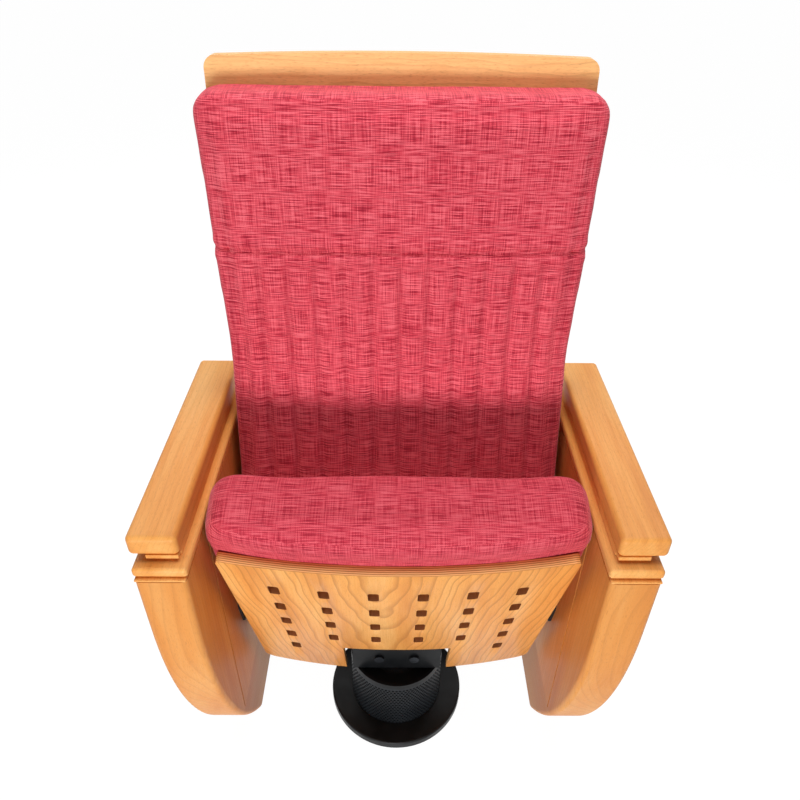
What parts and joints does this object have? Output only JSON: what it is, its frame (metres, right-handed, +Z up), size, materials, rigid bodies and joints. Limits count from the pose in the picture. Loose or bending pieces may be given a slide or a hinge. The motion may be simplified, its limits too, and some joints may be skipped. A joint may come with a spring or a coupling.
{
  "type": "tip-up auditorium seat",
  "caption": "Fixed auditorium seat with wooden side panels and armrests, an upholstered back and a plywood seat pan that a spring tips up.",
  "frame": {"origin": "centre of the round pedestal's base, on the floor", "axes": "+X across the seat to the sitter's left, +Y to the back, +Z up"},
  "size_m": [0.654, 0.4258, 1.098],
  "materials": {
    "panel_wood": "satin clear varnish on beech",
    "back_ply": "satin clear varnish on plywood",
    "pan_ply": "satin clear varnish on figured veneer",
    "inner_ply": "raw plywood",
    "red_fabric": "raspberry red linen weave",
    "dark_bead": "dark stained strip",
    "nylon": "moulded nylon",
    "stop_rubber": "matt rubber",
    "filter_foam": "open black filter foam",
    "bright_steel": "zinc plated",
    "cover_plastic": "satin black",
    "black_steel": "satin black powder coat"
  },
  "bodies": {
    "frame": {"side_panel_l": "panel_wood", "side_panel_r": "panel_wood", "panel_foot_l": "panel_wood", "panel_foot_r": "panel_wood", "panel_bead_l": "dark_bead", "panel_bead_r": "dark_bead", "panel_cap_l": "panel_wood", "panel_cap_r": "panel_wood", "arm_neck_l": "panel_wood", "arm_neck_r": "panel_wood", "armrest_l": "panel_wood", "armrest_r": "panel_wood", "pivot_plate_l": "black_steel", "pivot_plate_r": "black_steel", "pivot_bush_l": "nylon", "pivot_bush_r": "nylon", "back_bracket_l": "black_steel", "back_bracket_r": "black_steel", "head_cheek_l": "black_steel", "head_cheek_r": "black_steel", "beam_flange_l": "black_steel", "beam_flange_r": "black_steel", "foot_glides": "nylon", "seat_stops": "stop_rubber", "back_shell": "back_ply", "pad_carrier": "inner_ply", "back_pad": "red_fabric", "base_cover": "cover_plastic", "base_flange": "black_steel", "tie_rods": "black_steel", "column_filter": "filter_foam", "column_sleeve": "black_steel", "column_dish": "black_steel", "head_floor": "black_steel", "head_front": "black_steel", "head_bolts": "bright_steel", "head_beam_plate": "black_steel", "cross_beam": "black_steel", "beam_bolts": "bright_steel"},
    "seat": {"seat_pan": "pan_ply", "seat_board": "inner_ply", "seat_cushion": "red_fabric", "tube_saddles": "black_steel", "hinge_tube": "black_steel", "pivot_pin_l": "bright_steel", "pivot_pin_r": "bright_steel", "return_spring_l": "bright_steel", "return_spring_r": "bright_steel", "stop_lever_l": "black_steel", "stop_lever_r": "black_steel"}
  },
  "joints": [
    {"name": "seat_tip", "type": "hinge", "parent": "frame", "child": "seat", "pos_m": [0, -0.0417, 0.3241], "axis": [1, 0, 0], "range_deg": [0, 62], "stiffness_Nm_per_rad": 6, "springref_deg": -22.92}
  ]
}
